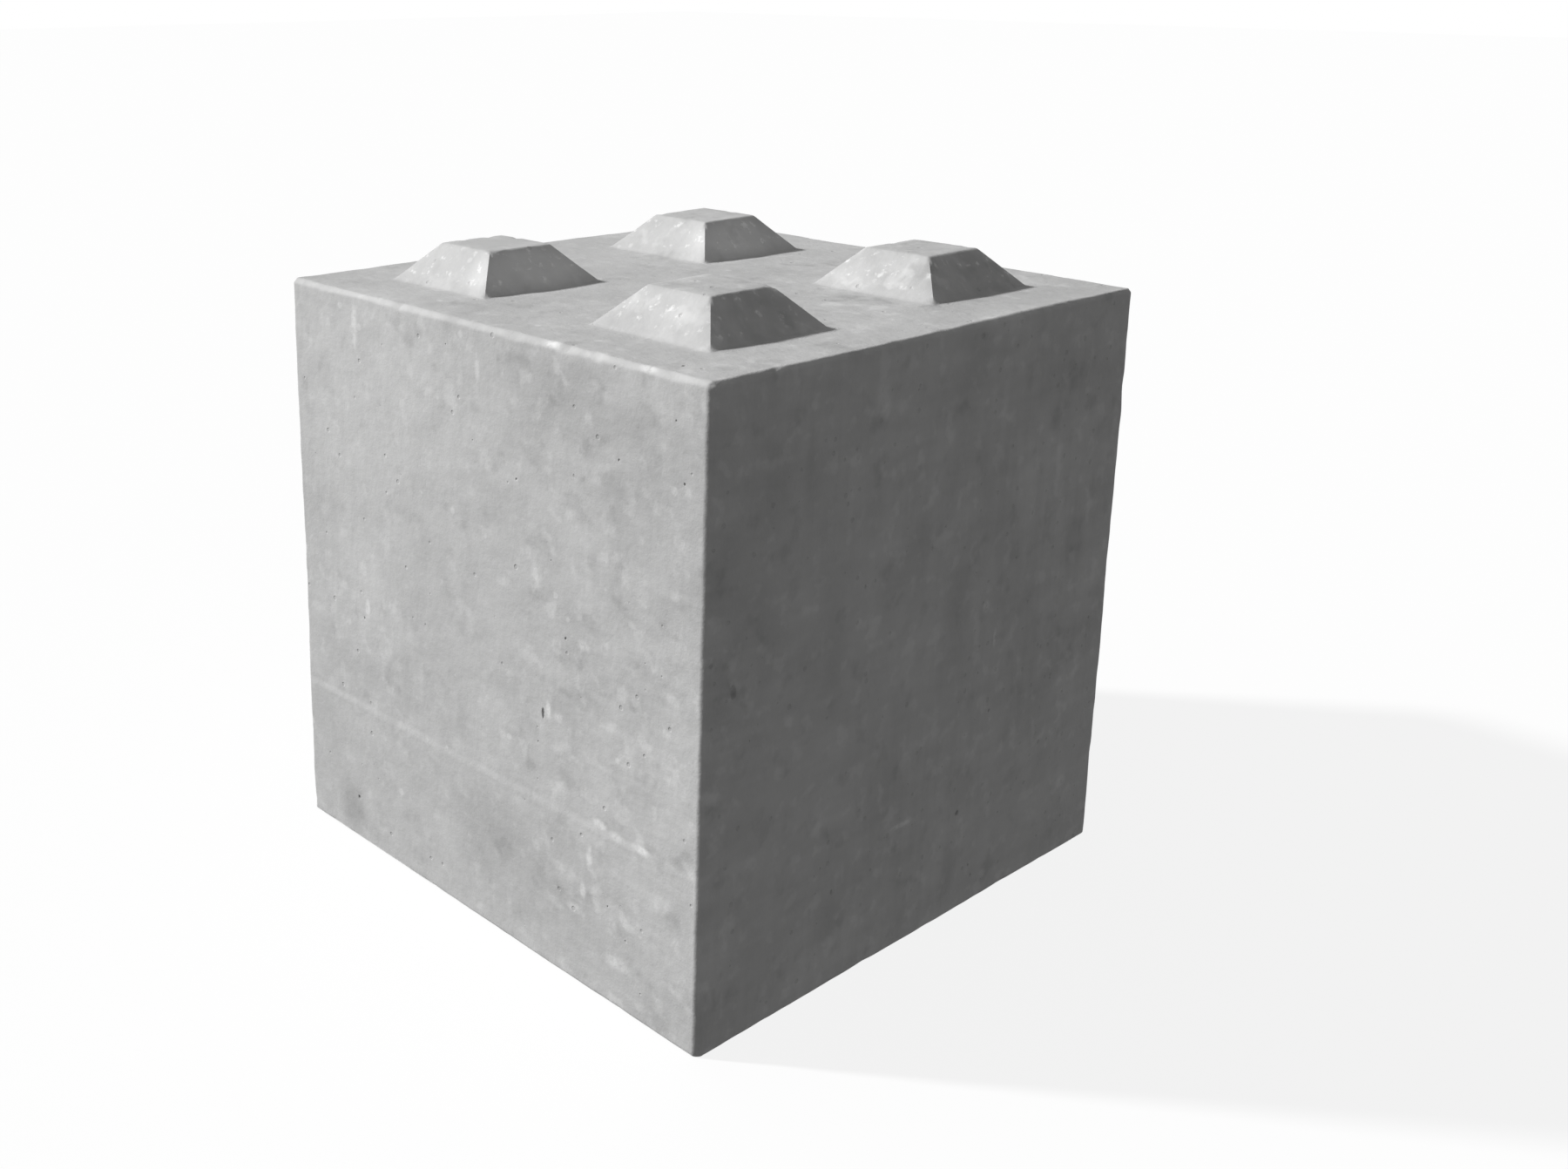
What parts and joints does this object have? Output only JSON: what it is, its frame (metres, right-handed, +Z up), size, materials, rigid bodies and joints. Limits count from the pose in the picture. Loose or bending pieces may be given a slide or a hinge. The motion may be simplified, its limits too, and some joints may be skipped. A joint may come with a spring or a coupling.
{
  "type": "interlocking concrete block",
  "caption": "Cube of cast concrete for dry stacked walls, with cut off pyramid studs on top, matching pockets below and bevelled edges.",
  "frame": {"origin": "centre of the underside's outline, on the level the block stands on", "axes": "+Z up through the studs, -Y the front face, +X the right hand face; the four sides are alike"},
  "size_m": [0.8, 0.8, 0.85],
  "materials": {
    "concrete": "cast, matt"
  },
  "bodies": {
    "root": {"concrete_block": "concrete"}
  },
  "joints": []
}
